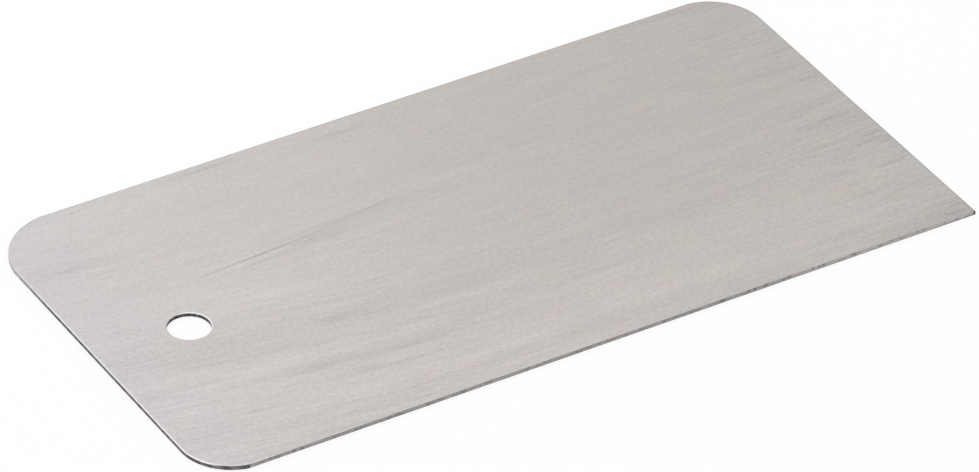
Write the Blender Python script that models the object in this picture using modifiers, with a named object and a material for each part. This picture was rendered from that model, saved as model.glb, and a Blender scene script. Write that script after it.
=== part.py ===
"""Steel ski scraper: one flat blank of hardened spring steel.

The sheet is punched to an outline with three rounded corners and one square corner, with a hole near
one end to hang it by. Punching rolls the upper edge of the outline and of the hole over a little. The
two long sides are then ground square, which makes them the scraping edges.

X runs along the long sides, Y across the sheet towards the rear, and Z up. The origin is in the middle
of the underside. The hole is at the left end (-X), and the square corner is at the front right (+X, -Y).
"""

import math

import bmesh
import bpy
from mathutils import Matrix

# Driving dimensions, in metres
LENGTH = 0.120  # over the two short sides
WIDTH = 0.062  # over the two ground long sides
THICKNESS = 0.0006
REAR_LEFT_RADIUS = 0.010
REAR_RIGHT_RADIUS = 0.008
FRONT_LEFT_RADIUS = 0.0075
HOLE_DIAMETER = 0.006
HOLE_TO_END = 0.0141  # from the left short side to the hole's centre
HOLE_TO_MIDLINE = 0.0008  # how far the hole's centre lies in front of the midline
EDGE_ROLL = 0.0001  # radius that punching leaves on the upper edges
GRIND_STOCK = 0.00003  # what grinding takes off a long side beyond its rolled edge

# How finely the round stretches are drawn
CORNER_STEPS = 16
HOLE_STEPS = 64
ROLL_STEPS = 3

# Brushed spring steel
STEEL_COLOUR = (0.60, 0.57, 0.545, 1.0)
STEEL_ROUGHNESS = 0.4

MERGE_DISTANCE = 1e-6
FLAT_ANGLE = math.radians(0.5)
SHARP_ANGLE = math.radians(35)


def clear_scene():
    for obj in list(bpy.data.objects):
        bpy.data.objects.remove(obj, do_unlink=True)


def new_collection(name):
    collection = bpy.data.collections.new(name)
    bpy.context.scene.collection.children.link(collection)
    return collection


def brushed_steel():
    material = bpy.data.materials.new("brushed_steel")
    material.use_nodes = True
    shader = material.node_tree.nodes["Principled BSDF"]
    shader.inputs["Base Color"].default_value = STEEL_COLOUR
    shader.inputs["Metallic"].default_value = 1.0
    shader.inputs["Roughness"].default_value = STEEL_ROUGHNESS
    return material


def arc(centre_x, centre_y, radius, start, turn, steps):
    """Points on an arc, from its start angle through its turn, both in degrees."""
    points = []
    for step in range(steps + 1):
        angle = math.radians(start + turn * step / steps)
        points.append((centre_x + radius * math.cos(angle), centre_y + radius * math.sin(angle)))
    return points


def blank_outline():
    """The punched outline, anticlockwise from the square corner, before its long sides are ground."""
    right = LENGTH / 2
    rear = WIDTH / 2 + EDGE_ROLL + GRIND_STOCK
    points = [(right, -rear)]
    for side_x, side_y, radius, start in (
        (1, 1, REAR_RIGHT_RADIUS, 0),
        (-1, 1, REAR_LEFT_RADIUS, 90),
        (-1, -1, FRONT_LEFT_RADIUS, 180),
    ):
        points += arc(side_x * (right - radius), side_y * (rear - radius), radius, start, 90, CORNER_STEPS)
    return points


def hole_outline():
    centre_x = HOLE_TO_END - LENGTH / 2
    return arc(centre_x, -HOLE_TO_MIDLINE, HOLE_DIAMETER / 2, 0, 360, HOLE_STEPS)[:-1]


def add_closed_spline(curve, points):
    spline = curve.splines.new("POLY")
    spline.points.add(len(points) - 1)
    for point, (x, y) in zip(spline.points, points):
        point.co = (x, y, 0.0, 1.0)
    spline.use_cyclic_u = True


def punch_sheet(name, outlines, collection):
    """A flat sheet with its underside at Z 0: the first outline is its rim, and the others are holes."""
    curve = bpy.data.curves.new(name, "CURVE")
    curve.dimensions = "2D"
    curve.fill_mode = "BOTH"
    curve.extrude = THICKNESS / 2
    for points in outlines:
        add_closed_spline(curve, points)
    drawing = bpy.data.objects.new(name + "_drawing", curve)
    drawing.location.z = THICKNESS / 2
    collection.objects.link(drawing)
    graph = bpy.context.evaluated_depsgraph_get()
    mesh = bpy.data.meshes.new_from_object(drawing.evaluated_get(graph))
    sheet = bpy.data.objects.new(name, mesh)
    mesh.transform(drawing.matrix_world)
    bpy.data.objects.remove(drawing, do_unlink=True)
    collection.objects.link(sheet)
    return sheet


def roll_upper_edges(sheet):
    """Rounds the rim and the hole along the upper face, where the punch pulls the steel down."""
    shape = bmesh.new()
    shape.from_mesh(sheet.data)
    bmesh.ops.remove_doubles(shape, verts=shape.verts, dist=MERGE_DISTANCE)
    bmesh.ops.dissolve_limit(shape, angle_limit=FLAT_ANGLE, verts=shape.verts, edges=shape.edges)
    weight = shape.edges.layers.float.new("bevel_weight_edge")
    for edge in shape.edges:
        upper = all(vert.co.z > THICKNESS / 2 for vert in edge.verts)
        if upper and edge.calc_face_angle() > SHARP_ANGLE:
            edge[weight] = 1.0
    shape.to_mesh(sheet.data)
    shape.free()
    roll = sheet.modifiers.new("rolled_edges", "BEVEL")
    roll.limit_method = "WEIGHT"
    roll.width = EDGE_ROLL
    roll.segments = ROLL_STEPS
    roll.use_clamp_overlap = False


def add_grinder(name, side, collection):
    """A box that lies against one finished long side: side is 1 at the rear and -1 in front."""
    depth = WIDTH
    shape = bmesh.new()
    bmesh.ops.create_cube(shape, size=1.0, matrix=Matrix.Diagonal((2 * LENGTH, depth, depth, 1.0)))
    mesh = bpy.data.meshes.new(name)
    shape.to_mesh(mesh)
    shape.free()
    grinder = bpy.data.objects.new(name, mesh)
    grinder.location.y = side * (WIDTH + depth) / 2
    grinder.hide_render = True
    grinder.display_type = "WIRE"
    collection.objects.link(grinder)
    return grinder


def grind_long_sides(sheet, collection):
    for name, side in (("grind_rear", 1), ("grind_front", -1)):
        cut = sheet.modifiers.new(name, "BOOLEAN")
        cut.operation = "DIFFERENCE"
        cut.object = add_grinder(name, side, collection)


def main():
    clear_scene()
    parts = new_collection("ski_scraper")
    cutters = new_collection("cutters")
    cutters.hide_render = True
    blade = punch_sheet("scraper_blade", (blank_outline(), hole_outline()), parts)
    roll_upper_edges(blade)
    grind_long_sides(blade, cutters)
    blade.data.materials.clear()
    blade.data.materials.append(brushed_steel())
    blade.data.shade_smooth()
    blade.data.set_sharp_from_angle(angle=SHARP_ANGLE)


main()
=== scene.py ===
# %% [markdown]
# # A steel ski scraper
# This tool is one sheet of hardened spring steel. It is held in both hands, bowed a little with the
# thumbs and pushed along a ski to peel wax off the base. It has no handle and no joint, so its looks are
# in a few thin edges and in the finish of its steel. The lesson follows the order of the workshop: the
# blank is cut out, its corners and its hole are punched, its long sides are ground, and each surface then
# gets the finish that this work leaves on it, with some painted light and shade in its colour.

# %% Load the measured part
import math

import bmesh
import bpy
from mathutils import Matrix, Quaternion, Vector


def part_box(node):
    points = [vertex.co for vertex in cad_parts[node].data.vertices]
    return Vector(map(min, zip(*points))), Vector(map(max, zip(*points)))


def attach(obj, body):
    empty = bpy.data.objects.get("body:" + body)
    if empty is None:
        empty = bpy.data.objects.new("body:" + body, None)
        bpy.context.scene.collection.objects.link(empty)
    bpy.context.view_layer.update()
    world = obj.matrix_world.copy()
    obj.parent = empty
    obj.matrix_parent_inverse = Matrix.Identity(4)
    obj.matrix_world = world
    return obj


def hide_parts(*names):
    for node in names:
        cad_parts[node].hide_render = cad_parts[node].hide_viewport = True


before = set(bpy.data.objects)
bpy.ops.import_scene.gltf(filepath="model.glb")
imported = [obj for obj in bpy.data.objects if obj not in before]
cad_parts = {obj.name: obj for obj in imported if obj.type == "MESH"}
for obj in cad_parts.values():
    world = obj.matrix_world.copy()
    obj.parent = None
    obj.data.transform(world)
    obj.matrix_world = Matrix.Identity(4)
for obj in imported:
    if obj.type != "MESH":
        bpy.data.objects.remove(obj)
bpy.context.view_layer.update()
low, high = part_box("scraper_blade")
length, width, thickness = high - low
print(f"The part measures {length * 1e3:.1f} x {width * 1e3:.1f} x {thickness * 1e3:.2f} mm")

# %% [markdown]
# ## The camera
# A product photo of a flat tool is taken with a long lens from far away, so that its sides stay almost
# parallel. The camera could be set up by eye, but a few angles are easier to keep: how far round the
# sheet it stands, how high, and how much it leans to one side. A quaternion that tracks the aim point
# turns the camera to the sheet, and a second one adds the lean.

# %% Place the camera
AIM = Vector((-0.00012, -0.00240, 0.0))
AZIMUTH = math.radians(-32.08)
ELEVATION = math.radians(35.76)
LEAN = math.radians(1.35)
DISTANCE = 1.0224
SENSOR_WIDTH = 36.0
LENS = 277.5

to_camera = Vector((
    math.sin(AZIMUTH) * math.cos(ELEVATION),
    -math.cos(AZIMUTH) * math.cos(ELEVATION),
    math.sin(ELEVATION),
))
bpy.ops.object.camera_add(location=AIM + to_camera * DISTANCE)
camera = bpy.context.active_object
camera.name = "product_camera"
camera.data.sensor_width = SENSOR_WIDTH
camera.data.lens = LENS
turn = (-to_camera).to_track_quat("-Z", "Y") @ Quaternion((0.0, 0.0, 1.0), LEAN)
camera.rotation_euler = turn.to_euler()
bpy.context.scene.camera = camera
bpy.context.scene.view_settings.view_transform = "Standard"
print("Camera at", [round(value, 3) for value in camera.location])

# %% [markdown]
# ## The studio
# Brushed steel has hardly any colour of its own: it shows a blurred picture of what stands round it. So
# the light is built as a pale room first, with a world of one even tone, and then as softboxes for the
# steel to reflect. One stands close behind the sheet, so that only the left half of the face mirrors it,
# which is why the steel gets a little darker from left to right. The other hangs overhead and draws the
# thin bright line along the rolled rims. Both are only half as bright as the room, because a stronger
# lamp would burn the face out to white as soon as somebody walks round the table.

# %% Fill the room with even light
ROOM_TONE = 0.86

world = bpy.data.worlds.new("pale_room")
world.use_nodes = True
world.node_tree.nodes["Background"].inputs["Color"].default_value = (ROOM_TONE, ROOM_TONE, ROOM_TONE, 1.0)
bpy.context.scene.world = world
print("Room tone", ROOM_TONE)

# %% Hang the softboxes
SOFTBOX_GLOW = 0.45


def add_softbox(name, place, size, colour):
    """A soft lamp that faces the sheet. Its watts follow from the glow of its cloth."""
    bpy.ops.object.light_add(type="AREA", location=place)
    softbox = bpy.context.active_object
    softbox.name = name
    softbox.rotation_euler = (-Vector(place)).to_track_quat("-Z", "Y").to_euler()
    softbox.data.shape = "RECTANGLE"
    softbox.data.size, softbox.data.size_y = size
    softbox.data.energy = SOFTBOX_GLOW * math.pi * size[0] * size[1]
    softbox.data.color = colour
    softbox.visible_camera = False
    print(f"{name}: {softbox.data.energy:.2f} W")


add_softbox("rear_softbox", place=(-0.018, 0.276, 0.234), size=(0.35, 0.30), colour=(0.92, 0.96, 1.08))
add_softbox("top_softbox", place=(-0.20, 0.12, 0.88), size=(0.90, 0.90), colour=(1.0, 1.0, 1.0))

# %% [markdown]
# ## The floor
# The sheet lies on a plain white table. A plane is enough for it. It sits a hair below the steel, so that
# the two surfaces don't fight over the same place. To the camera, and in reflections, the table is mostly
# a white glow, as on a light table, so that only a breath of the shadow is left. The Light Path node
# keeps that glow from lighting the steel.

# %% Lay the floor
FLOOR_SIZE = 6.0
FLOOR_DROP = 0.00003
FLOOR_COLOUR = (0.95, 0.95, 0.95, 1.0)
FLOOR_ROUGHNESS = 0.9
FLOOR_GLOSS = 0.1

bpy.ops.object.select_all(action="DESELECT")
bpy.ops.mesh.primitive_plane_add(size=FLOOR_SIZE, location=(0.0, 0.0, -FLOOR_DROP))
floor = bpy.context.active_object
floor.name = "pale_floor"
floor_finish = bpy.data.materials.new("pale_floor")
floor_finish.use_nodes = True
floor_shader = floor_finish.node_tree.nodes["Principled BSDF"]
floor_shader.inputs["Base Color"].default_value = FLOOR_COLOUR
floor_shader.inputs["Roughness"].default_value = FLOOR_ROUGHNESS
floor_shader.inputs["Specular IOR Level"].default_value = FLOOR_GLOSS
floor.data.materials.append(floor_finish)
print("Floor laid", FLOOR_DROP, "m below the sheet")

# %% Light the floor for the eye
FLOOR_GLOW = 0.85

nodes = floor_finish.node_tree.nodes
links = floor_finish.node_tree.links
rays = nodes.new("ShaderNodeLightPath").outputs
seen = rays["Is Camera Ray"]
for kind in ("Is Glossy Ray", "Is Transmission Ray"):
    either = nodes.new("ShaderNodeMath")
    either.operation = "MAXIMUM"
    links.new(seen, either.inputs[0])
    links.new(rays[kind], either.inputs[1])
    seen = either.outputs[0]
share = nodes.new("ShaderNodeMath")
share.operation = "MULTIPLY"
share.inputs[1].default_value = FLOOR_GLOW
links.new(seen, share.inputs[0])
glow = nodes.new("ShaderNodeEmission")
blend = nodes.new("ShaderNodeMixShader")
links.new(share.outputs[0], blend.inputs[0])
links.new(floor_shader.outputs[0], blend.inputs[1])
links.new(glow.outputs[0], blend.inputs[2])
links.new(blend.outputs[0], nodes["Material Output"].inputs["Surface"])
print("Floor glows by", FLOOR_GLOW)

# %% [markdown]
# ## The blank
# A press cuts the sheet out a little wider than it will be, because grinding takes some steel off both
# long sides later. A cube at the size of that blank is the start. Its place and size are applied to the
# mesh at once, so that the object stays at the origin and the finishes can be laid out in metres.

# %% Cut the blank
ROLL = 0.0001
GRIND_STOCK = 0.00003

blank_width = width + 2 * (ROLL + GRIND_STOCK)
bpy.ops.object.select_all(action="DESELECT")
bpy.ops.mesh.primitive_cube_add(
    size=1.0,
    location=(low + high) / 2,
    scale=(length, blank_width, thickness),
)
blade = bpy.context.active_object
blade.name = "brushed_blade"
bpy.ops.object.transform_apply(location=True, rotation=True, scale=True)
print("Blank", [round(side * 1e3, 2) for side in blade.dimensions], "mm")

# %% [markdown]
# ## Three round corners and a square one
# Three corners are rounded so that they don't cut the hands. The fourth is left square and sharp, to get
# into the groove of a ski. The corners aren't equal, so each upright edge of the blank is beveled by
# itself, with its own radius. A small helper selects edges in edit mode by a test on their place.

# %% Select by place
CLOSE = 1e-6


def start_edit(kind):
    """Goes into edit mode, where bpy.ops.mesh works, to select vertices, edges or faces."""
    bpy.ops.object.mode_set(mode="EDIT")
    bpy.ops.mesh.select_mode(type=kind)
    bpy.ops.mesh.select_all(action="DESELECT")
    return bmesh.from_edit_mesh(bpy.context.active_object.data)


def select_where(parts, test):
    """Selects the vertices, edges or faces that pass a test, and returns how many did."""
    chosen = [part for part in parts if test(part)]
    for part in chosen:
        part.select_set(True)
    bmesh.update_edit_mesh(bpy.context.active_object.data)
    return len(chosen)


def middle(edge):
    return (edge.verts[0].co + edge.verts[1].co) / 2


print("Selection helpers ready, exact to", CLOSE, "m")

# %% Round the corners
CORNER_STEPS = 24
ROUND_PROFILE = 0.5
CORNER_RADII = {
    "rear left": (-1, 1, 0.0100),
    "rear right": (1, 1, 0.0080),
    "front left": (-1, -1, 0.0075),
}

for name, (side_x, side_y, radius) in CORNER_RADII.items():
    shape = start_edit("EDGE")
    corner = Vector((side_x * length / 2, side_y * blank_width / 2, thickness / 2))
    count = select_where(shape.edges, lambda edge: (middle(edge) - corner).length < CLOSE)
    bpy.ops.mesh.bevel(offset=radius, segments=CORNER_STEPS, profile=ROUND_PROFILE, clamp_overlap=False)
    bpy.ops.object.mode_set(mode="OBJECT")
    print(f"{name}: {count} edge rounded to {radius * 1e3} mm")

# %% [markdown]
# ## The hanging hole
# A round punch takes out the hole near the left end, a little in front of the middle. A cylinder stands
# for the punch, and a Boolean modifier takes its volume out of the sheet. The modifier is applied, and
# the punch is put away.

# %% Punch the hole
HOLE_RADIUS = 0.003
HOLE_CENTRE = Vector((-0.0459, -0.0008, 0.0))
HOLE_STEPS = 96
PUNCH_DEPTH = 10 * thickness

bpy.ops.object.select_all(action="DESELECT")
bpy.ops.mesh.primitive_cylinder_add(
    vertices=HOLE_STEPS,
    radius=HOLE_RADIUS,
    depth=PUNCH_DEPTH,
    location=HOLE_CENTRE,
)
punch = bpy.context.active_object
bpy.ops.object.select_all(action="DESELECT")
blade.select_set(True)
bpy.context.view_layer.objects.active = blade
cut = blade.modifiers.new("hanging_hole", "BOOLEAN")
cut.operation = "DIFFERENCE"
cut.object = punch
bpy.ops.object.modifier_apply(modifier=cut.name)
bpy.data.objects.remove(punch)
print("Hole punched, the blade has", len(blade.data.polygons), "faces")

# %% [markdown]
# ## Rolled rims
# Before a punch shears the steel, it pulls the upper edge down into a small radius. That rim is only a
# tenth of a millimetre wide, and it is what catches the light in a thin line along the left end and
# behind the hole. It is a bevel of the sharp upper edges, of the outline and the hole together.

# %% Roll the upper rims
ROLL_STEPS = 6
SHARP = math.radians(60)


def is_upper_rim(edge):
    on_top = all(abs(vert.co.z - high.z) < CLOSE for vert in edge.verts)
    return on_top and len(edge.link_faces) == 2 and edge.calc_face_angle() > SHARP


shape = start_edit("EDGE")
count = select_where(shape.edges, is_upper_rim)
bpy.ops.mesh.bevel(offset=ROLL, segments=ROLL_STEPS, profile=ROUND_PROFILE, clamp_overlap=False)
bpy.ops.object.mode_set(mode="OBJECT")
print(f"{count} rim edges rolled to {ROLL * 1e3} mm")

# %% [markdown]
# ## Ground long sides
# The two long sides are the working edges. A wheel grinds them flat and square, past the rolled rim, so
# these are the only sharp edges on the tool. Bisect cuts the mesh along a plane, throws away what lies
# outside and closes the cut with a new face.

# %% Grind the long sides
def trim(point, outwards):
    """Cuts the blade along a plane and takes off what lies on its outer side."""
    start_edit("FACE")
    bpy.ops.mesh.select_all(action="SELECT")
    bpy.ops.mesh.bisect(
        plane_co=point,
        plane_no=outwards,
        use_fill=True,
        clear_outer=True,
        threshold=CLOSE / 10,
    )
    bpy.ops.object.mode_set(mode="OBJECT")


for name, side in (("rear", 1.0), ("front", -1.0)):
    trim(Vector((0.0, side * width / 2, 0.0)), Vector((0.0, side, 0.0)))
    print(f"{name} side ground, {blade.dimensions.y * 1e3:.3f} mm over both sides")

# %% [markdown]
# ## Broken edges
# After grinding, a stroke of a fine stone takes the burr off the long edges, above and below. The flat
# that it leaves is about two hundredths of a millimetre wide. It is too small to see as a shape, but an
# edge without it never catches the light. A bisect at 45 degrees is the stone.

# %% Stone the ground edges
BREAK = 0.00002

for side in (1.0, -1.0):
    for edge_z, up in ((high.z, 1.0), (low.z, -1.0)):
        trim(Vector((0.0, side * width / 2, edge_z - up * BREAK)), Vector((0.0, side, up)))
print("Four edges stoned by", BREAK * 1e3, "mm, the blade has", len(blade.data.polygons), "faces")

# %% [markdown]
# ## The border of the face
# In the last fraction of a millimetre the face gets painted light and shade: a painted highlight on the
# left and round the front left corner, which widens the bright line of the rolled rim, and painted shade
# at the rear and on the right. Inset draws a second outline inside the first one. A point attribute that
# is 1 on the outer line and 0 on the inner one lets the finish fade between the two.

# %% Draw the border
BORDER = 0.00028
FLAT_NORMAL = 0.999

shape = start_edit("FACE")
select_where(shape.faces, lambda face: face.normal.z > FLAT_NORMAL)
bpy.ops.mesh.inset(thickness=BORDER, use_boundary=True)
bpy.ops.object.mode_set(mode="OBJECT")
inner_points = {point for face in blade.data.polygons if face.select for point in face.vertices}
border_line = blade.data.attributes.new("border", "FLOAT", "POINT")
for number, mark in enumerate(border_line.data):
    mark.value = 0.0 if number in inner_points else 1.0
print("Border of", BORDER * 1e3, "mm, with", len(inner_points), "points on its inner line")

# %% [markdown]
# ## Smooth rims on flat faces
# Shading smooth by angle rounds the bevels, but it also bends the light on the large flat faces, because
# their corners are shared with the rims. A Weighted Normal modifier lets the largest face at each corner
# decide, so the faces stay flat and only the rims look round.

# %% Shade the blade
SMOOTH_ANGLE = math.radians(40)
LARGEST_FACE_WINS = 100

bpy.ops.object.shade_smooth_by_angle(angle=SMOOTH_ANGLE)
weigh = blade.modifiers.new("flat_faces", "WEIGHTED_NORMAL")
weigh.keep_sharp = True
weigh.weight = LARGEST_FACE_WINS
bpy.ops.object.modifier_apply(modifier=weigh.name)
print("Blade:", len(blade.data.vertices), "points,", len(blade.data.polygons), "faces")

# %% [markdown]
# ## The lie of the brushing
# Brushed metal spreads a reflection across its lines, and hardly along them. The shader takes the
# direction of the lines from a UV map. The cube came with one, but the cuts have left it patchy. A cube
# projection lays it out afresh, with X along U on both faces, which is the way that the brush ran.

# %% Map the brushing
start_edit("FACE")
bpy.ops.mesh.select_all(action="SELECT")
bpy.ops.uv.cube_project(cube_size=length)
bpy.ops.object.mode_set(mode="OBJECT")
blade.data.uv_layers[0].name = "brush_lie"
print("UV map", blade.data.uv_layers[0].name)

# %% [markdown]
# ## Tools for the finishes
# The finishes are node trees, so a few short helpers keep them readable. One adds a node and fills its
# inputs, one does a sum with a Math node, one fades a value, and two start and place a node group.

# %% Helpers for node trees
def fill_inputs(tree, node, inputs):
    """Fills inputs by name or number. A socket is linked, and anything else is set as a value."""
    for name, value in inputs.items():
        if isinstance(value, bpy.types.NodeSocket):
            tree.links.new(value, node.inputs[name])
        else:
            node.inputs[name].default_value = value
    return node


def add_node(tree, kind, inputs=None, **settings):
    """Adds a shader node, applies its settings and fills its inputs with values or links."""
    node = tree.nodes.new("ShaderNode" + kind)
    for name, value in settings.items():
        setattr(node, name, value)
    return fill_inputs(tree, node, inputs or {})


def reckon(tree, operation, *values):
    """The result of a Math node."""
    return add_node(tree, "Math", dict(enumerate(values)), operation=operation).outputs["Value"]


def fade(tree, value, start, end, first=0.0, last=1.0):
    """Goes smoothly from first to last while a value goes from start to end."""
    inputs = {"Value": value, "From Min": start, "From Max": end, "To Min": first, "To Max": last}
    return add_node(tree, "MapRange", inputs, interpolation_type="SMOOTHSTEP").outputs["Result"]


def new_group(name, inputs, outputs):
    """Starts a node group. Each input and output is a name with a socket type: Float or Vector."""
    tree = bpy.data.node_groups.new(name, "ShaderNodeTree")
    for label, kind in inputs.items():
        tree.interface.new_socket(label, in_out="INPUT", socket_type="NodeSocket" + kind)
    for label, kind in outputs.items():
        tree.interface.new_socket(label, in_out="OUTPUT", socket_type="NodeSocket" + kind)
    return tree, tree.nodes.new("NodeGroupInput").outputs, tree.nodes.new("NodeGroupOutput")


def use_group(tree, group, inputs):
    """Places a group in a tree and returns its first output."""
    node = tree.nodes.new("ShaderNodeGroup")
    node.node_tree = group
    return fill_inputs(tree, node, inputs).outputs[0]


print("Helpers ready")

# %% [markdown]
# ## The path of the brush
# The lines on the face aren't straight. The belt swung in at the left end, so they bend to the rear
# there: in front the bend starts near the middle and is gentle, and at the rear it starts near the end
# and is sharper. They also wander a little everywhere. This group bends the coordinates in the same way,
# with two fades that go from one bend to the other, so that any pattern drawn straight along the bent X
# follows the lines.

# %% Group: brush path
FRONT_BEND = 1.7
FRONT_START = -0.001
REAR_BEND = 3.5
REAR_START = -0.030
BEND_ZONE = (0.0, 0.014)
WANDER = 0.0020
WANDER_SCALE = 40.0
NOISE_MIDDLE = 0.5

brush_path, given, result = new_group("brush_path", {"Place": "Vector"}, {"Path": "Vector"})
x, y, z = add_node(brush_path, "SeparateXYZ", {0: given["Place"]}).outputs
start = fade(brush_path, y, *BEND_ZONE, FRONT_START, REAR_START)
bend = fade(brush_path, y, *BEND_ZONE, FRONT_BEND, REAR_BEND)
past_bend = reckon(brush_path, "MINIMUM", reckon(brush_path, "SUBTRACT", x, start), 0.0)
rise = reckon(brush_path, "MULTIPLY", reckon(brush_path, "POWER", past_bend, 2.0), bend)
drift_inputs = {"Vector": given["Place"], "Scale": WANDER_SCALE, "Detail": 1.0}
drift = add_node(brush_path, "TexNoise", drift_inputs).outputs[0]
sway = reckon(brush_path, "MULTIPLY", reckon(brush_path, "SUBTRACT", drift, NOISE_MIDDLE), WANDER)
bent_y = reckon(brush_path, "ADD", reckon(brush_path, "SUBTRACT", y, rise), sway)
bent = add_node(brush_path, "CombineXYZ", {"X": x, "Y": bent_y, "Z": z}).outputs[0]
brush_path.links.new(bent, result.inputs["Path"])
print("brush_path:", len(brush_path.nodes), "nodes")

# %% [markdown]
# ## Grain
# One stretched noise texture is one size of brush line. The group divides the path by a length and a
# width, so that the same group gives hair lines, streaks and broad clouds, on the face and on the ground
# sides alike. The result swings about zero, so that a layer of grain leaves the mean tone as it was.

# %% Group: brush lines
brush_lines, given, result = new_group(
    "brush_lines",
    {"Path": "Vector", "Length": "Float", "Width": "Float"},
    {"Lines": "Float"},
)
size = add_node(brush_lines, "CombineXYZ", {"X": given["Length"], "Y": given["Width"], "Z": given["Width"]})
stretched = add_node(
    brush_lines,
    "VectorMath",
    {0: given["Path"], 1: size.outputs[0]},
    operation="DIVIDE",
).outputs[0]
lines_inputs = {"Vector": stretched, "Scale": 1.0, "Detail": 2.0, "Roughness": 0.55}
lines = add_node(brush_lines, "TexNoise", lines_inputs).outputs[0]
brush_lines.links.new(reckon(brush_lines, "SUBTRACT", lines, NOISE_MIDDLE), result.inputs["Lines"])
print("brush_lines:", len(brush_lines.nodes), "nodes")

# %% [markdown]
# ## Single strokes
# Some strokes of the brush stand out: a dull band, a bright patch, a scratch. Each is a soft, long spot.
# The group measures how far a point lies from the middle of the stroke, in half lengths and half widths,
# and fades out with a bell curve.

# %% Group: stroke
stroke, given, result = new_group(
    "stroke",
    {
        "Path": "Vector",
        "Middle X": "Float",
        "Middle Y": "Float",
        "Half Length": "Float",
        "Half Width": "Float",
        "Slope": "Float",
    },
    {"Mask": "Float"},
)
x, y, _ = add_node(stroke, "SeparateXYZ", {0: given["Path"]}).outputs
along = reckon(stroke, "SUBTRACT", x, given["Middle X"])
lean = reckon(stroke, "MULTIPLY", along, given["Slope"])
across = reckon(stroke, "SUBTRACT", reckon(stroke, "SUBTRACT", y, given["Middle Y"]), lean)
ends = reckon(stroke, "POWER", reckon(stroke, "DIVIDE", along, given["Half Length"]), 2.0)
sides = reckon(stroke, "POWER", reckon(stroke, "DIVIDE", across, given["Half Width"]), 2.0)
bell = reckon(stroke, "EXPONENT", reckon(stroke, "MULTIPLY", reckon(stroke, "ADD", ends, sides), -1.0))
stroke.links.new(bell, result.inputs["Mask"])
print("stroke:", len(stroke.nodes), "nodes")

# %% [markdown]
# ## Flecks
# Sheared and ground steel is full of small dark pits. A noise texture with a threshold gives them: the
# higher the cut, the fewer flecks are left.

# %% Group: flecks
FLECK_EDGE = 0.12

flecks, given, result = new_group(
    "flecks",
    {"Place": "Vector", "Size": "Float", "Cut": "Float"},
    {"Mask": "Float"},
)
scale = reckon(flecks, "DIVIDE", 1.0, given["Size"])
pits = add_node(flecks, "TexNoise", {"Vector": given["Place"], "Scale": scale, "Detail": 3.0}).outputs[0]
deep = fade(flecks, pits, given["Cut"], reckon(flecks, "ADD", given["Cut"], FLECK_EDGE))
flecks.links.new(deep, result.inputs["Mask"])
print("flecks:", len(flecks.nodes), "nodes")

# %% [markdown]
# ## Starting a steel
# All the finishes are the same metal with another surface. The first helper makes a material with its
# texture coordinates at hand. The tone of a finish is a single value that changes over the surface.
# Layers are added to it one by one, and in the end it is multiplied into the colour of the steel, as dirt
# and wear would darken it. Some of the layers are painted light and shade, which brighten or darken the
# colour where the light would.

# %% Start a steel material
def new_steel(name, roughness):
    """Starts a bare metal. Returns it with its node tree, its shader and its coordinates."""
    material = bpy.data.materials.new(name)
    material.use_nodes = True
    tree = material.node_tree
    shader = tree.nodes["Principled BSDF"]
    shader.inputs["Metallic"].default_value = 1.0
    shader.inputs["Roughness"].default_value = roughness
    coordinates = add_node(tree, "TexCoord").outputs
    return material, tree, shader, coordinates


def add_layer(tree, tone, layer, strength):
    """Adds a layer to a tone. A negative strength darkens."""
    return reckon(tree, "MULTIPLY_ADD", layer, strength, tone)


def tint(tree, shader, colour, tone):
    """Multiplies a colour by a tone and gives it to the shader."""
    scaled = add_node(tree, "VectorMath", {0: colour, "Scale": tone}, operation="SCALE")
    tree.links.new(scaled.outputs["Vector"], shader.inputs["Base Color"])


def emboss(tree, shader, height, depth):
    """Raises and lowers the surface by a height, times a depth in metres."""
    bump = add_node(tree, "Bump", {"Height": height, "Distance": depth, "Strength": 1.0})
    tree.links.new(bump.outputs["Normal"], shader.inputs["Normal"])


print("Steel starter ready")

# %% [markdown]
# ## The brushed face
# A fine belt has dulled both faces of the sheet. From afar the steel looks plain, and only close up do
# the lines show: hair lines a few tenths of a millimetre wide, streaks of a millimetre, clouds of four,
# some single dark furrows, and over it all a fine tooth that runs in no direction. They could be one
# noise, but sizes of the same group can each be set to the strength that the eye sees.

# %% Lay the grain of the face
FACE_ROUGHNESS = 0.42
HAIR = {"Length": 0.007, "Width": 0.00040}
STREAK = {"Length": 0.036, "Width": 0.0012}
CLOUD = {"Length": 0.070, "Width": 0.0038}
FURROW = {"Length": 0.016, "Width": 0.0008}
TOOTH = {"Length": 0.0006, "Width": 0.0006}
FURROW_CUT = (0.04, 0.20)
HAIR_STRENGTH = 0.145
STREAK_STRENGTH = 0.10
CLOUD_STRENGTH = 0.06
FURROW_STRENGTH = -0.042

face_finish, tree, shader, coordinates = new_steel("brushed_face", FACE_ROUGHNESS)
place = coordinates["Object"]
path = use_group(tree, brush_path, {"Place": place})
hair = use_group(tree, brush_lines, {"Path": path, **HAIR})
streak = use_group(tree, brush_lines, {"Path": path, **STREAK})
cloud = use_group(tree, brush_lines, {"Path": path, **CLOUD})
furrows = use_group(tree, brush_lines, {"Path": path, **FURROW})
furrows = fade(tree, furrows, *FURROW_CUT)
tooth = use_group(tree, brush_lines, {"Path": place, **TOOTH})
lines = add_layer(tree, 0.0, hair, HAIR_STRENGTH)
lines = add_layer(tree, lines, streak, STREAK_STRENGTH)
lines = add_layer(tree, lines, cloud, CLOUD_STRENGTH)
lines = add_layer(tree, lines, furrows, FURROW_STRENGTH)
print("brushed_face, grain:", len(tree.nodes), "nodes")

# %% [markdown]
# ## The press of the belt
# No hand holds a sheet to a belt quite evenly. The lines are stronger towards the two ends, and all the
# grain is a little stronger in front. A few fades along X and Y stand for that pressure, and the grain is
# multiplied by them. Painting the pressure by hand would do too, but a fade can be changed by one number.

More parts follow.
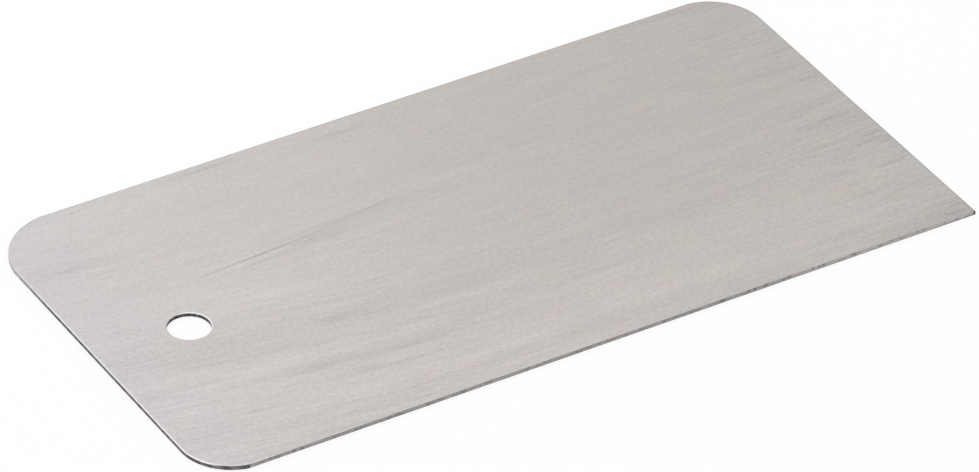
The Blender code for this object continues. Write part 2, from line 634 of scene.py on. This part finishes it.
# %% Press harder towards the ends
TOOTH_STRENGTH = 0.265
LEFT_REAR_PRESSURE = 0.85
LEFT_FRONT_PRESSURE = 1.35
MIDDLE_PRESSURE = 0.80
RIGHT_EXTRA = 0.50
FRONT_GAIN = 1.25
LEFT_REAR_TO_FRONT = (0.012, -0.008)
LEFT_TO_MIDDLE = (-0.035, 0.025)
MIDDLE_TO_RIGHT = (0.036, 0.050)
REAR_TO_FRONT = (0.015, -0.015)

x, y, z = add_node(tree, "SeparateXYZ", {0: place}).outputs
left_pressure = fade(tree, y, *LEFT_REAR_TO_FRONT, LEFT_REAR_PRESSURE, LEFT_FRONT_PRESSURE)
pressure = fade(tree, x, *LEFT_TO_MIDDLE, left_pressure, MIDDLE_PRESSURE)
pressure = reckon(tree, "ADD", pressure, fade(tree, x, *MIDDLE_TO_RIGHT, 0.0, RIGHT_EXTRA))
front_gain = fade(tree, y, *REAR_TO_FRONT, 1.0, FRONT_GAIN)
tone = add_layer(tree, 0.0, lines, pressure)
tone = add_layer(tree, tone, tooth, TOOTH_STRENGTH)
tone = add_layer(tree, 1.0, tone, front_gain)
print("brushed_face, pressure:", len(tree.nodes), "nodes")

# %% [markdown]
# ## Strokes and scratches
# Some marks stand out, and they are listed one by one, because chance wouldn't put them where they are. A
# stroke follows the bent path of the brush. A few strokes are wide and faint: they are painted light and
# shade, brighter and darker patches that stand in for how the light falls across the face. A scratch
# lies on the flat sheet. Both are rows of the same six numbers. The streaks break up the strokes and the
# hair lines break up the scratches, so that neither looks painted on.

# %% Lay out the strokes
# Middle X and Y along the path, half length, half width (mm), slope, and how much it brightens
STROKES_AND_PAINTED_LIGHT = (
    (22.0, -24.0, 45.0, 10.0, 0.0, 0.075),
    (-16.0, -9.9, 9.0, 1.7, 0.0, -0.030),
    (-52.0, -8.9, 8.0, 2.2, 0.0, -0.030),
    (-45.0, -11.5, 12.0, 2.0, 0.0, -0.045),
    (-32.0, -1.3, 16.0, 3.2, -0.04, 0.045),
    (-16.0, 9.3, 12.0, 1.1, 0.08, -0.045),
    (-56.0, 16.5, 9.0, 1.2, 0.01, -0.020),
    (-37.0, -16.4, 16.0, 1.3, 0.0, 0.030),
    (-22.0, -19.6, 15.0, 1.1, -0.04, -0.040),
    (-28.0, -26.0, 18.0, 1.5, 0.0, 0.020),
    (47.5, -24.7, 7.0, 1.8, 0.0, 0.036),
    (60.0, -28.5, 12.0, 2.2, 0.15, -0.075),
    (-27.0, 29.5, 6.0, 0.6, 0.0, -0.050),
    (-12.0, 21.9, 12.0, 2.0, 0.0, 0.022),
    (7.0, 14.3, 8.0, 1.0, -0.05, -0.025),
    (56.0, -3.5, 6.0, 2.0, 0.0, -0.035),
    (55.0, 29.5, 6.0, 1.0, 0.0, -0.050),
    (-38.0, 27.2, 6.0, 1.8, 0.0, 0.020),
    (-46.0, -29.4, 6.0, 0.7, 0.0, -0.035),
    (-25.0, 20.4, 45.0, 9.0, 0.0, -0.022),
    (-3.0, -30.2, 22.0, 1.5, 0.0, 0.045),
    (59.9, -28.5, 0.2, 3.0, 0.0, -0.120),
    (-49.0, -17.1, 12.0, 4.0, 0.0, 0.024),
    (38.0, -4.0, 14.0, 26.0, 0.0, 0.010),
    (-30.0, 25.7, 10.0, 4.0, 0.0, -0.015),
    (-56.0, 8.4, 8.0, 14.0, 0.0, -0.012),
    (55.0, -28.5, 6.0, 2.2, 0.0, -0.030),
    (58.5, -30.4, 3.5, 1.1, 0.0, -0.075),
    (27.0, -23.1, 7.0, 1.6, 0.0, -0.020),
    (44.8, 12.3, 3.0, 1.0, 0.0, -0.030),
    (38.0, -3.0, 6.0, 0.9, 0.0, -0.020),
)
print(len(STROKES_AND_PAINTED_LIGHT), "strokes on the upper face")

# %% Lay out the scratches
# The same six numbers, with the middle on the flat sheet
SCRATCHES = (
    # The double scratch to the right of the hole, and its tail
    (-31.0, 8.53, 7.5, 0.20, 0.06, -0.22),
    (-30.5, 8.15, 6.0, 0.15, 0.06, 0.10),
    (-32.0, 9.00, 4.5, 0.15, 0.06, 0.07),
    (-29.0, 7.22, 5.5, 0.15, 0.04, -0.14),
    (-20.5, 10.30, 4.5, 0.15, 0.02, -0.10),
    (-20.5, 8.58, 3.5, 0.15, 0.06, -0.09),
    (-20.0, 9.35, 4.0, 0.15, 0.07, -0.09),
    (-11.5, 10.60, 6.0, 0.40, 0.10, -0.080),
    (-19.5, 7.70, 4.0, 0.55, 0.02, -0.070),
    # Dull and bright patches in front of the hole
    (-45.0, -10.30, 11.0, 0.45, -0.17, -0.055),
    (-28.0, -9.00, 3.4, 0.95, -0.08, -0.095),
    (-22.5, -10.30, 3.0, 0.60, -0.08, -0.040),
    (-35.4, -17.20, 3.4, 0.70, -0.08, -0.120),
    (-25.0, -18.50, 6.0, 0.55, -0.09, -0.060),
    (-24.1, -19.07, 3.5, 0.15, -0.07, -0.10),
    (-12.8, -17.70, 3.5, 0.40, 0.0, -0.055),
    (-26.0, -21.50, 6.5, 0.40, -0.07, -0.045),
    (-30.0, -21.10, 2.2, 0.15, -0.05, -0.09),
    (-42.0, -15.70, 4.0, 0.50, -0.08, 0.080),
    (-46.0, -12.70, 4.5, 0.60, -0.12, -0.055),
    (-47.3, -21.30, 2.0, 0.30, -0.08, -0.11),
    # Short marks at the left end and along the rear
    (-53.8, -1.40, 2.0, 0.15, -0.19, -0.09),
    (-54.0, 18.15, 3.0, 0.35, 0.0, -0.100),
    (-47.1, 29.45, 0.4, 0.15, -0.05, -0.30),
    (-25.2, 29.65, 3.5, 0.25, -0.01, -0.09),
    (-5.8, 28.00, 4.8, 0.45, -0.01, -0.090),
    # Short marks towards the right end
    (50.8, 22.20, 1.4, 0.15, -0.03, -0.13),
    (53.3, 22.40, 2.0, 0.15, -0.07, -0.09),
    (57.2, 14.60, 2.8, 0.30, -0.03, -0.100),
    (57.0, 10.50, 2.6, 0.20, 0.0, -0.080),
    (57.5, 7.05, 2.4, 0.25, 0.0, -0.100),
    (55.3, -2.60, 2.0, 0.25, -0.02, -0.20),
    (51.0, -3.10, 2.5, 0.80, 0.0, -0.065),
    (47.0, -9.00, 7.0, 0.30, -0.05, -0.055),
    (57.9, -8.60, 2.0, 0.25, 0.0, -0.21),
    (54.9, -10.00, 2.0, 0.15, -0.06, -0.05),
    (58.8, -11.00, 1.2, 0.30, 0.0, -0.13),
    (56.6, -15.60, 2.4, 0.22, 0.05, -0.14),
    (48.5, -14.50, 3.0, 0.40, 0.0, 0.045),
    (49.0, -20.35, 5.0, 0.22, 0.0, -0.13),
    (31.5, -20.45, 4.0, 0.35, 0.0, 0.030),
    (53.2, -21.80, 1.2, 0.20, 0.0, -0.06),
    (57.5, -27.00, 2.5, 0.22, 0.02, -0.080),
    (58.6, -28.40, 1.4, 0.22, 0.02, -0.080),
    (57.3, -29.90, 1.8, 0.30, 0.0, -0.110),
)
print(len(SCRATCHES), "scratches on the upper face")

# %% Draw the strokes and scratches
SCRATCH_BREAKUP = 2.5


def draw_strokes(tree, path, rows):
    """Adds up strokes that are laid out in millimetres along a path."""
    marks = 0.0
    for middle_x, middle_y, half_length, half_width, slope, strength in rows:
        spot = {
            "Path": path,
            "Middle X": middle_x / 1e3,
            "Middle Y": middle_y / 1e3,
            "Half Length": half_length / 1e3,
            "Half Width": half_width / 1e3,
            "Slope": slope,
        }
        marks = add_layer(tree, marks, use_group(tree, stroke, spot), strength)
    return marks


# The wide, faint strokes are painted light and shade, and the narrow ones are brush marks
strokes = draw_strokes(tree, path, STROKES_AND_PAINTED_LIGHT)
strokes = reckon(tree, "MULTIPLY", strokes, reckon(tree, "ADD", streak, 1.0))
scratches = draw_strokes(tree, place, SCRATCHES)
breakup = reckon(tree, "MULTIPLY_ADD", hair, SCRATCH_BREAKUP, 1.0)
scratches = reckon(tree, "MULTIPLY", scratches, breakup)
marks = reckon(tree, "ADD", strokes, scratches)
print("brushed_face, strokes:", len(tree.nodes), "nodes")

# %% [markdown]
# ## Dashes, border and nicks
# Three more marks are on the upper side. Short dark dashes crowd towards the right end. The border gets a
# painted highlight on the left, in front and most of all round the front left corner, and painted shade at
# the rear and on the right. In front, towards the right, the grinding wheel has nicked it. Each of them is
# a mask, and fades hold it in its place. A step at half the thickness keeps all the marks off the
# underside.

# %% Crowd the dashes
DASH = {"Length": 0.006, "Width": 0.00035}
DASH_CUT = (0.05, 0.25)
DASH_ZONE = (0.044, 0.060)
DASH_STRENGTH = -0.12

dashes = use_group(tree, brush_lines, {"Path": path, **DASH})
dashes = reckon(tree, "MULTIPLY", fade(tree, dashes, *DASH_CUT), fade(tree, x, *DASH_ZONE))
marks = add_layer(tree, marks, dashes, DASH_STRENGTH)
print("brushed_face, dashes:", len(tree.nodes), "nodes")

# %% Paint light and shade on the border
LEFT_BORDER = 0.12
FRONT_BORDER = 0.04
FAR_BORDER = -0.13
CORNER_BORDER = 0.26
LEFT_ZONE = (-0.050, -0.057)
CORNER_ZONE_X = (-0.046, -0.053)
CORNER_ZONE_Y = (-0.024, -0.028)
REAR_ZONE = (0.019, 0.027)
RIGHT_ZONE = (0.0590, 0.0596)

# Painted highlight on the left and round the front left corner, painted shade at the rear and right
border = add_node(tree, "Attribute", attribute_name="border").outputs["Fac"]
border_light_and_nicks = fade(tree, x, *LEFT_ZONE, FRONT_BORDER, LEFT_BORDER)
front_left = reckon(tree, "MULTIPLY", fade(tree, x, *CORNER_ZONE_X), fade(tree, y, *CORNER_ZONE_Y))
border_light_and_nicks = add_layer(tree, border_light_and_nicks, front_left, CORNER_BORDER)
far = reckon(tree, "MAXIMUM", fade(tree, y, *REAR_ZONE), fade(tree, x, *RIGHT_ZONE))
border_light_and_nicks = add_layer(tree, border_light_and_nicks, far, FAR_BORDER - FRONT_BORDER)
print("brushed_face, border:", len(tree.nodes), "nodes")

# %% Nick the border
NICKS = {"Size": 0.0006, "Cut": 0.49}
NICKS_START = (0.010, 0.035)
NICKS_END = (0.056, 0.053)
NICKED_LINE = (-0.0302, -0.0306)
BORDER_NICKS = -0.30


def draw_nicks(tree, place, x):
    """The nicks that the wheel left along the top of the ground side, towards the right end."""
    nicks = use_group(tree, flecks, {"Place": place, **NICKS})
    nicks = reckon(tree, "MULTIPLY", nicks, fade(tree, x, *NICKS_START))
    return reckon(tree, "MULTIPLY", nicks, fade(tree, x, *NICKS_END))


nicks = draw_nicks(tree, place, x)
nicks = reckon(tree, "MULTIPLY", nicks, fade(tree, y, *NICKED_LINE))
border_light_and_nicks = add_layer(tree, border_light_and_nicks, nicks, BORDER_NICKS)
marks = add_layer(tree, marks, border, border_light_and_nicks)
upper_side = reckon(tree, "GREATER_THAN", z, thickness / 2)
tone = add_layer(tree, tone, marks, upper_side)
print("brushed_face, marks:", len(tree.nodes), "nodes")

# %% [markdown]
# ## The colour of the face
# The steel is a warm grey that isn't quite the same everywhere. A noise texture puts out a colour, so it
# can give a faint bloom that swings red, green and blue each by itself, a few millimetres across. The two
# ends are a touch cooler, which is painted light: a cool tint that stands in for cooler light there. The
# tone that all the layers made is multiplied in last.

# %% Colour the face
FACE_COLOUR = (0.590, 0.553, 0.524)
BLOOM = 0.045
BLOOM_SIZE = 0.004
COOL_LIGHT_TINT = (0.0, 0.002, 0.020)
LEFT_END = (-0.040, -0.060)
RIGHT_END = (0.052, 0.060)
RIGHT_END_SHARE = 0.6

bloom_inputs = {"Vector": place, "Scale": 1.0 / BLOOM_SIZE, "Detail": 1.0}
bloom = add_node(tree, "TexNoise", bloom_inputs).outputs["Color"]
swing = [BLOOM * channel for channel in FACE_COLOUR]
lowest = [(1.0 - BLOOM / 2) * channel for channel in FACE_COLOUR]
steel = add_node(tree, "VectorMath", {0: bloom, 1: swing, 2: lowest}, operation="MULTIPLY_ADD")
steel = steel.outputs["Vector"]
ends = fade(tree, x, *LEFT_END)
ends = add_layer(tree, ends, fade(tree, x, *RIGHT_END), RIGHT_END_SHARE)
# A painted cool light, added at the two ends
steel = add_node(tree, "VectorMath", {0: ends, 1: COOL_LIGHT_TINT, 2: steel}, operation="MULTIPLY_ADD")
tint(tree, shader, steel.outputs["Vector"], tone)
print("brushed_face, colour:", len(tree.nodes), "nodes")

# %% [markdown]
# ## The sheen of the brushing
# Each brush line is a tiny groove, so the surface is smooth along the lines and rough across them. The
# anisotropy of the shader gives that: it draws a reflection out across the lines. The hair lines also
# lift the surface by a few thousandths of a millimetre, and the streaks make it a little more or less
# rough, so that they still show when the light moves.

# %% Give the face its sheen
ANISOTROPY = 0.6
QUARTER_TURN = 0.25
ROUGHNESS_SWING = 0.10
HAIR_DEPTH = 0.000004

shader.inputs["Anisotropic"].default_value = ANISOTROPY
shader.inputs["Anisotropic Rotation"].default_value = QUARTER_TURN
lie = add_node(tree, "Tangent", direction_type="UV_MAP", uv_map="brush_lie")
tree.links.new(lie.outputs[0], shader.inputs["Tangent"])
rough = add_layer(tree, FACE_ROUGHNESS, streak, ROUGHNESS_SWING)
tree.links.new(rough, shader.inputs["Roughness"])
emboss(tree, shader, hair, HAIR_DEPTH)
print("brushed_face:", len(tree.nodes), "nodes")

# %% [markdown]
# ## The rolled rim
# The punch has burnished the rims, so they are smoother than the face. Their tone is painted light and
# shade by the way that they look. Those that look to the left get a painted highlight: the thin bright
# lines on the left end and in the hole, where it also reaches round to the rear. The others get painted
# shade, most of all in front, and so does the rear end of the left side. The rim's colour is paler than
# the steel of the face, which paints in part of the highlight too. The Normal output says which way a rim
# looks. With its height left out, its X and Y are two fades.

# %% Tell where a rim is and which way it looks
RIM_ROUGHNESS = 0.24
LEVEL = (1.0, 1.0, 0.0)


def measure_from_hole(tree, place):
    """How far a place is from the middle of the hole."""
    span = add_node(tree, "VectorMath", {0: place, 1: HOLE_CENTRE}, operation="DISTANCE")
    return span.outputs["Value"]


rim_finish, tree, shader, coordinates = new_steel("rolled_rim", RIM_ROUGHNESS)
place = coordinates["Object"]
level = add_node(tree, "VectorMath", {0: coordinates["Normal"], 1: LEVEL}, operation="MULTIPLY")
level = add_node(tree, "VectorMath", {0: level.outputs["Vector"]}, operation="NORMALIZE")
way_x, way_y, _ = add_node(tree, "SeparateXYZ", {0: level.outputs["Vector"]}).outputs
print("rolled_rim, way:", len(tree.nodes), "nodes")

# %% Make the rolled rim
# Paler than the steel of the face: burnished steel with part of a painted highlight
RIM_COLOUR = (0.88, 0.855, 0.84)
FRONT_TONE = 0.25
REAR_TONE = 0.45
TURNED_TO_REAR = (-0.3, 0.3)
LEFT_REAR_TONE = 0.65
LEFT_MIDDLE_TONE = 0.92
LEFT_FRONT_TONE = 1.0
LEFT_REAR_END = (0.026, 0.010)
LEFT_FRONT_END = (-0.012, -0.018)
TURNED_TO_LEFT = (-0.55, -0.85)
HOLE_TONE = 0.70
HOLE_RIM_HIGHLIGHT = 1.02
HOLE_TURN = (0.15, -0.35)
HOLE_ZONE = (0.004, 0.005)
RIM_GRIT = {"Size": 0.0005, "Cut": 0.52}
RIM_GRIT_STRENGTH = -0.12

# Painted shade and painted highlight on the rim, by the way that it looks and by where it lies
painted_rim_shade = fade(tree, way_y, *TURNED_TO_REAR, FRONT_TONE, REAR_TONE)
_, y, _ = add_node(tree, "SeparateXYZ", {0: place}).outputs
painted_rim_highlight = fade(tree, y, *LEFT_FRONT_END, LEFT_MIDDLE_TONE, LEFT_FRONT_TONE)
painted_rim_highlight = fade(tree, y, *LEFT_REAR_END, LEFT_REAR_TONE, painted_rim_highlight)
from_hole = measure_from_hole(tree, place)
tone = fade(tree, way_x, *TURNED_TO_LEFT, painted_rim_shade, painted_rim_highlight)
hole_rim_light = fade(tree, way_x, *HOLE_TURN, HOLE_TONE, HOLE_RIM_HIGHLIGHT)
tone = fade(tree, from_hole, *HOLE_ZONE, hole_rim_light, tone)
grit = use_group(tree, flecks, {"Place": place, **RIM_GRIT})
tone = add_layer(tree, tone, grit, RIM_GRIT_STRENGTH)
tint(tree, shader, RIM_COLOUR, tone)
print("rolled_rim:", len(tree.nodes), "nodes")

# %% [markdown]
# ## The ground side
# The wheel leaves fine lines along the working edge, with darker pits where it tore the steel. The side is
# far darker than the face: its dark colour is painted shade, as on a side that faces away from the light.
# The edge is a little darker along its top and its bottom, where the burr was. Towards the right end the
# steel is brighter, and its upper line is nicked. In the last centimetre only the upper half stays bright,
# and in the last fraction of a millimetre the sharp corner is dark. The nicks stop a little before it.

# %% Tone the ground side along its length
GROUND_ROUGHNESS = 0.40
BRIGHTER_ZONE = (0.020, 0.040)
BRIGHTER_TONE = 1.21
LAST_STRETCH = (0.046, 0.060)
LAST_DARK = -0.28
CREST_ZONE = (0.047, 0.056)
CREST_HEIGHT = (0.25, 0.60)
CREST_BRIGHT = 0.46


def fade_height(tree, z, start, end, first=0.0, last=1.0):
    """A fade between two heights, both as shares of the thickness."""
    return fade(tree, z, start * thickness, end * thickness, first, last)


ground_finish, tree, shader, coordinates = new_steel("ground_side", GROUND_ROUGHNESS)
place = coordinates["Object"]
x, _, z = add_node(tree, "SeparateXYZ", {0: place}).outputs
tone = fade(tree, x, *BRIGHTER_ZONE, 1.0, BRIGHTER_TONE)
tone = add_layer(tree, tone, fade(tree, x, *LAST_STRETCH), LAST_DARK)
crest = fade_height(tree, z, *CREST_HEIGHT)
crest = reckon(tree, "MULTIPLY", crest, fade(tree, x, *CREST_ZONE))
tone = add_layer(tree, tone, crest, CREST_BRIGHT)
print("ground_side, pressure:", len(tree.nodes), "nodes")

# %% Make the ground side
# Much darker than the steel of the face: painted shade on the side
GROUND_COLOUR = (0.347, 0.325, 0.324)
GROUND_LINES = {"Length": 0.002, "Width": 0.00015}
GROUND_LINES_STRENGTH = 0.9
GROUND_LINES_DEPTH = 0.00001
GROUND_GRIT = {"Size": 0.0006, "Cut": 0.52}
GROUND_GRIT_STRENGTH = -0.35
LOWER_LINE = (0.05, 0.30)
LOWER_LINE_TONE = 0.70
UPPER_LINE = (0.98, 0.80)
UPPER_LINE_TONE = 0.75
NICKS_HEIGHT = (0.35, 0.70)
SIDE_NICKS = -0.24
TIP_ZONE = (length / 2 - 0.000448, length / 2 - 0.000192)
TIP_TONE = 0.15

lines = use_group(tree, brush_lines, {"Path": place, **GROUND_LINES})
tone = add_layer(tree, tone, lines, GROUND_LINES_STRENGTH)
grit = use_group(tree, flecks, {"Place": place, **GROUND_GRIT})
tone = add_layer(tree, tone, grit, GROUND_GRIT_STRENGTH)
lower_line = fade_height(tree, z, *LOWER_LINE, LOWER_LINE_TONE, 1.0)
upper_line = fade_height(tree, z, *UPPER_LINE, UPPER_LINE_TONE, 1.0)
nicks = draw_nicks(tree, place, x)
nicks = reckon(tree, "MULTIPLY", nicks, fade_height(tree, z, *NICKS_HEIGHT))
tone = add_layer(tree, tone, nicks, SIDE_NICKS)
tip = fade(tree, x, *TIP_ZONE, 1.0, TIP_TONE)
for shade in (lower_line, upper_line, tip):
    tone = reckon(tree, "MULTIPLY", tone, shade)
tint(tree, shader, GROUND_COLOUR, tone)
emboss(tree, shader, lines, GROUND_LINES_DEPTH)
print("ground_side:", len(tree.nodes), "nodes")

# %% [markdown]
# ## The sheared wall
# A punch first cuts the sheet with a smooth, burnished band and then breaks the rest away, which leaves
# a dark and grainy one. The height over the floor tells the bands apart. The wall is far darker than the
# face: partly the dull sheared steel, partly painted shade, as on a side that faces away from the light.
# The wall gets lighter towards the rear. It is darkest on the left of the hole, which is painted shade in
# the hole, and at the front end of the front left corner.

# %% Shade the wall from end to end
WALL_ROUGHNESS = 0.45
WALL_TONE = 0.95
WALL_REAR_TONE = 2.8
WALL_REAR = (0.010, 0.025)
WALL_FRONT_GAIN = 1.15
WALL_FRONT = (-0.020, -0.026)
WALL_LAST_GAIN = 0.6
WALL_LAST = (-0.0304, -0.0308)

wall_finish, tree, shader, coordinates = new_steel("sheared_wall", WALL_ROUGHNESS)
place = coordinates["Object"]
x, y, z = add_node(tree, "SeparateXYZ", {0: place}).outputs
tone = fade(tree, y, *WALL_REAR, WALL_TONE, WALL_REAR_TONE)
tone = reckon(tree, "MULTIPLY", tone, fade(tree, y, *WALL_FRONT, 1.0, WALL_FRONT_GAIN))
tone = reckon(tree, "MULTIPLY", tone, fade(tree, y, *WALL_LAST, 1.0, WALL_LAST_GAIN))
print("sheared_wall, shade:", len(tree.nodes), "nodes")

# %% Make the sheared wall
# Dull sheared steel, with painted shade in it
WALL_COLOUR = (0.176, 0.163, 0.168)
TORN = {"Size": 0.0010, "Cut": 0.44}
TORN_STRENGTH = -0.55
TORN_DEPTH = -0.00002
BURNISH_BOTTOM = (0.10, 0.30)
BURNISH_TOP = (0.75, 0.50)
BURNISH_GAIN = 0.45
BROKEN_TONE = 0.80
HOLE_DARK = 0.45
HOLE_LIGHT = 0.90
HOLE_SHADE = (HOLE_CENTRE.x - 0.0007, HOLE_CENTRE.x + 0.0015)

torn = use_group(tree, flecks, {"Place": place, **TORN})
tone = add_layer(tree, tone, torn, TORN_STRENGTH)
burnish = fade_height(tree, z, *BURNISH_BOTTOM)
burnish = reckon(tree, "MULTIPLY", burnish, fade_height(tree, z, *BURNISH_TOP))
burnish = reckon(tree, "MULTIPLY_ADD", burnish, BURNISH_GAIN, BROKEN_TONE)
tone = reckon(tree, "MULTIPLY", tone, burnish)
from_hole = measure_from_hole(tree, place)
# Painted shade in the hole, darkest on its left
hole_tone = fade(tree, x, *HOLE_SHADE, HOLE_DARK, HOLE_LIGHT)
tone = reckon(tree, "MULTIPLY", tone, fade(tree, from_hole, *HOLE_ZONE, hole_tone, 1.0))
tint(tree, shader, WALL_COLOUR, tone)
emboss(tree, shader, torn, TORN_DEPTH)
print("sheared_wall:", len(tree.nodes), "nodes")

# %% [markdown]
# ## Giving each surface its finish
# The four finishes go on by the way the faces look: flat ones up and down, ground ones to the front and
# the rear along the long sides, rolled ones slantwise up, and the rest are sheared walls. Each gets a
# material slot, and the faces that pass its test are selected and assigned to it.

# %% Assign the finishes
UPRIGHT_NORMAL = 0.01


def is_flat(face):
    return abs(face.normal.z) > FLAT_NORMAL


def is_ground(face):
    on_side = abs(face.calc_center_median().y) > width / 2 - BREAK - CLOSE
    return on_side and abs(face.normal.x) < UPRIGHT_NORMAL


def is_rolled(face):
    return UPRIGHT_NORMAL < face.normal.z <= FLAT_NORMAL and not is_ground(face)


def is_sheared(face):
    return not (is_flat(face) or is_rolled(face) or is_ground(face))


for number, (finish, test) in enumerate((
    (face_finish, is_flat),
    (rim_finish, is_rolled),
    (ground_finish, is_ground),
    (wall_finish, is_sheared),
)):
    blade.data.materials.append(finish)
    shape = start_edit("FACE")
    count = select_where(shape.faces, test)
    blade.active_material_index = number
    bpy.ops.object.material_slot_assign()
    bpy.ops.object.mode_set(mode="OBJECT")
    print(f"{finish.name}: {count} faces")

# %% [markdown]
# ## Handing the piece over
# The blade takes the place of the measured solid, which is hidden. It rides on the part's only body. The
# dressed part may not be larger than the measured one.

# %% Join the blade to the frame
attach(blade, "root")
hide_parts("scraper_blade")
